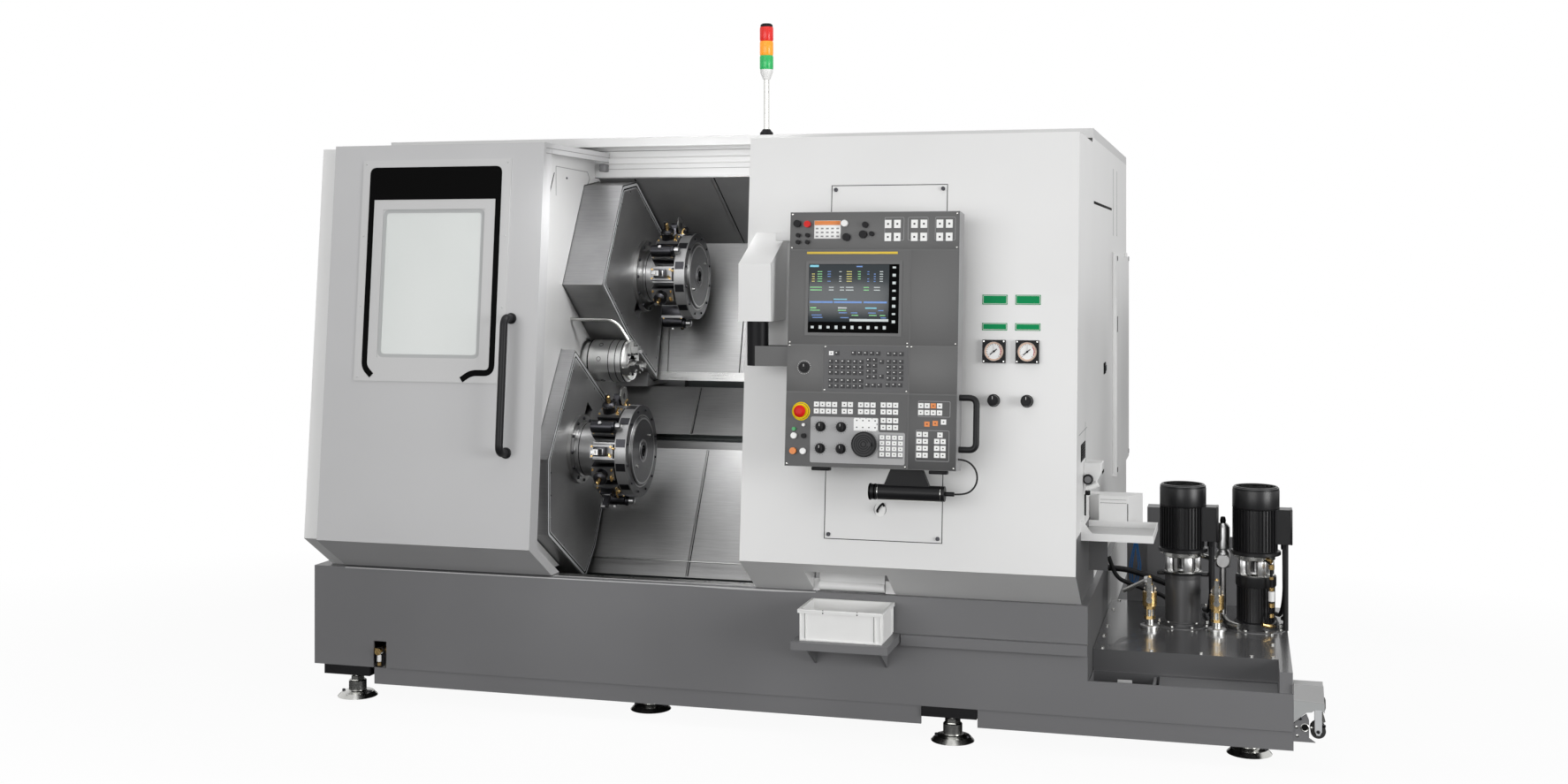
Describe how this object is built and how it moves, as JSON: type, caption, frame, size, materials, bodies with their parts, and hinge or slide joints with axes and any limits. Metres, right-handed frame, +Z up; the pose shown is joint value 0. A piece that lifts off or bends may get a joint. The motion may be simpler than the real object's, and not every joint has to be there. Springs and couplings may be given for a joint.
{
  "type": "cnc turning lathe",
  "caption": "Slant bed turning lathe with two tool turrets, sliding door, swivelling control pendant and coolant tank.",
  "frame": {"origin": "middle of the footprint, on the floor", "axes": "+X along the spindle to the right, +Y from the operator to the back, +Z up"},
  "size_m": [3.65, 2.664, 2.565],
  "materials": {
    "cover_white": "satin",
    "door_grey": "satin",
    "base_grey": "satin",
    "stainless": "brushed",
    "steel": "brushed",
    "machined": "polished",
    "cast": "painted",
    "black_paint": "satin",
    "black_plastic": "matte",
    "white_plastic": "matte",
    "glass": "clear",
    "screen": "glossy",
    "red_plastic": "glossy",
    "nickel": "polished",
    "brass": "satin",
    "lens": "glossy",
    "rubber": "matte",
    "aluminium": "satin"
  },
  "bodies": {
    "machine": {"base_frame": "base_grey", "levelling_feet": "nickel", "parts_bin": "white_plastic", "slant_bed": "cast", "headstock": "cast", "back_panels": "stainless", "inner_wall": "cover_white", "left_cover": "cover_white", "front_cover": "cover_white", "cover_plates": "cover_white", "gauge_cases": "black_plastic", "roof_panel": "cover_white", "cabinet_shell": "cover_white", "shelf": "cover_white", "signal_tower": "lens", "coolant_tank": "black_paint", "coolant_pumps": "black_paint", "coolant_pipes": "brass", "coolant_hose": "rubber", "end_bracket": "cover_white", "pendant_bracket": "cover_white"},
    "door": {"door_shell": "door_grey", "window_frame": "door_grey", "window_glass": "glass", "door_handle": "black_plastic"},
    "chuck": {"chuck": "machined"},
    "jaw_1": {"chuck_jaw_1": "machined"},
    "jaw_2": {"chuck_jaw_2": "machined"},
    "jaw_3": {"chuck_jaw_3": "machined"},
    "counter_slide": {"counter_headstock": "cast"},
    "counter_chuck": {"counter_chuck": "machined"},
    "upper_carriage": {"upper_carriage": "stainless"},
    "upper_cross": {"upper_turret_arm": "machined"},
    "upper_turret": {"upper_turret": "machined", "upper_tooling": "steel"},
    "lower_carriage": {"lower_carriage": "stainless"},
    "lower_cross": {"lower_turret_arm": "machined"},
    "lower_turret": {"lower_turret": "machined", "lower_tooling": "steel"},
    "chute_flap": {"chute_flap": "cover_white"},
    "service_door": {"service_door": "cover_white"},
    "pendant": {"pendant_arm": "black_paint", "pendant_housing": "black_paint", "screen": "screen", "pendant_keys": "white_plastic", "pendant_fittings": "black_plastic", "lamp_cord": "rubber"},
    "emergency_stop": {"emergency_stop": "red_plastic"},
    "jog_wheel": {"jog_wheel": "black_plastic"},
    "regulator_knob_1": {"regulator_knob_1": "black_plastic"},
    "regulator_knob_2": {"regulator_knob_2": "black_plastic"},
    "pump_shaft_1": {"pump_shaft_1": "steel"},
    "pump_shaft_2": {"pump_shaft_2": "steel"},
    "valve_lever_1": {"valve_lever_1": "steel"},
    "valve_lever_2": {"valve_lever_2": "steel"},
    "roller": {"roller": "black_plastic"},
    "selector_1": {"selector_1": "black_plastic"},
    "selector_2": {"selector_2": "black_plastic"},
    "selector_3": {"selector_3": "black_plastic"},
    "selector_4": {"selector_4": "black_plastic"}
  },
  "joints": [
    {"name": "door_slide", "type": "slide", "parent": "machine", "child": "door", "axis": [1, 0, 0], "range_m": [0, 0.774]},
    {"name": "chuck_spin", "type": "hinge", "parent": "machine", "child": "chuck", "pos_m": [-0.925, -0.44996, 1.262], "axis": [1, 0, 0], "continuous": true},
    {"name": "jaw_1_slide", "type": "slide", "parent": "chuck", "child": "jaw_1", "axis": [0, 0, 1], "range_m": [-0.002, 0.002]},
    {"name": "jaw_2_slide", "type": "slide", "parent": "chuck", "child": "jaw_2", "axis": [0, -0.866, -0.5], "range_m": [-0.002, 0.002]},
    {"name": "jaw_3_slide", "type": "slide", "parent": "chuck", "child": "jaw_3", "axis": [0, 0.866, -0.5], "range_m": [-0.002, 0.002]},
    {"name": "counter_slide", "type": "slide", "parent": "machine", "child": "counter_slide", "axis": [1, 0, 0], "range_m": [-0.6, 0]},
    {"name": "counter_spin", "type": "hinge", "parent": "counter_slide", "child": "counter_chuck", "pos_m": [0.175, -0.44996, 1.262], "axis": [1, 0, 0], "continuous": true},
    {"name": "upper_carriage_slide", "type": "slide", "parent": "machine", "child": "upper_carriage", "axis": [1, 0, 0], "range_m": [0, 0.5]},
    {"name": "upper_cross_slide", "type": "slide", "parent": "upper_carriage", "child": "upper_cross", "axis": [0, 0.5547, 0.8321], "range_m": [-0.155, 0.012]},
    {"name": "upper_index", "type": "hinge", "parent": "upper_cross", "child": "upper_turret", "pos_m": [-0.625, -0.22996, 1.592], "axis": [1, 0, 0], "continuous": true},
    {"name": "lower_carriage_slide", "type": "slide", "parent": "machine", "child": "lower_carriage", "axis": [1, 0, 0], "range_m": [0, 0.5]},
    {"name": "lower_cross_slide", "type": "slide", "parent": "lower_carriage", "child": "lower_cross", "axis": [0, 0.5635, 0.8261], "range_m": [-0.012, 0.155]},
    {"name": "lower_index", "type": "hinge", "parent": "lower_cross", "child": "lower_turret", "pos_m": [-0.725, -0.67096, 0.938], "axis": [1, 0, 0], "continuous": true},
    {"name": "chute_flap_hinge", "type": "hinge", "parent": "machine", "child": "chute_flap", "pos_m": [0.259, -0.95996, 0.6], "axis": [-1, 0, 0], "range_deg": [0, 45]},
    {"name": "service_door_hinge", "type": "hinge", "parent": "machine", "child": "service_door", "pos_m": [1.0627, 1.24004, 1.215], "axis": [0, 0, 1], "range_deg": [0, 110]},
    {"name": "pendant_swing", "type": "hinge", "parent": "machine", "child": "pendant", "pos_m": [-0.005, -1.21996, 1.4], "axis": [0, 0, 1], "range_deg": [-90, 0]},
    {"name": "emergency_stop_push", "type": "slide", "parent": "pendant", "child": "emergency_stop", "axis": [0, 0.9955, -0.0943], "range_m": [0, 0.006], "stiffness_N_per_m": 800},
    {"name": "jog_turn", "type": "hinge", "parent": "pendant", "child": "jog_wheel", "pos_m": [0.378, -1.29165, 1.05615], "axis": [0, 0.9955, -0.0943], "continuous": true},
    {"name": "selector_1_turn", "type": "hinge", "parent": "pendant", "child": "selector_1", "pos_m": [0.229, -1.29326, 1.03923], "axis": [0, 0.9955, -0.0943], "range_deg": [-120, 120]},
    {"name": "selector_2_turn", "type": "hinge", "parent": "pendant", "child": "selector_2", "pos_m": [0.2985, -1.29326, 1.03923], "axis": [0, 0.9955, -0.0943], "range_deg": [-120, 120]},
    {"name": "selector_3_turn", "type": "hinge", "parent": "pendant", "child": "selector_3", "pos_m": [0.229, -1.28656, 1.10991], "axis": [0, 0.9955, -0.0943], "range_deg": [-45, 45]},
    {"name": "selector_4_turn", "type": "hinge", "parent": "pendant", "child": "selector_4", "pos_m": [0.2985, -1.28656, 1.10991], "axis": [0, 0.9955, -0.0943], "range_deg": [-45, 45]},
    {"name": "regulator_1_turn", "type": "hinge", "parent": "machine", "child": "regulator_knob_1", "pos_m": [0.771, -1.09499, 1.19189], "axis": [0, 0.9955, -0.0943], "range_deg": [-175, 175]},
    {"name": "regulator_2_turn", "type": "hinge", "parent": "machine", "child": "regulator_knob_2", "pos_m": [0.881, -1.09499, 1.19189], "axis": [0, 0.9955, -0.0943], "range_deg": [-175, 175]},
    {"name": "pump_1_turn", "type": "hinge", "parent": "machine", "child": "pump_shaft_1", "pos_m": [1.355, -0.30196, 0.5], "axis": [0, 0, 1], "continuous": true},
    {"name": "pump_2_turn", "type": "hinge", "parent": "machine", "child": "pump_shaft_2", "pos_m": [1.613, -0.30196, 0.5], "axis": [0, 0, 1], "continuous": true},
    {"name": "valve_1_turn", "type": "hinge", "parent": "machine", "child": "valve_lever_1", "pos_m": [1.241, -0.44996, 0.429], "axis": [0, 1, 0], "range_deg": [0, 90]},
    {"name": "valve_2_turn", "type": "hinge", "parent": "machine", "child": "valve_lever_2", "pos_m": [1.477, -0.44996, 0.429], "axis": [0, 1, 0], "range_deg": [0, 90]},
    {"name": "roller_turn", "type": "hinge", "parent": "machine", "child": "roller", "pos_m": [1.801, -0.93396, 0.137], "axis": [0, 1, 0], "continuous": true}
  ],
  "couplings": [
    {"joint": "jaw_2_slide", "follows": "jaw_1_slide", "ratio": 1},
    {"joint": "jaw_3_slide", "follows": "jaw_1_slide", "ratio": 1}
  ]
}
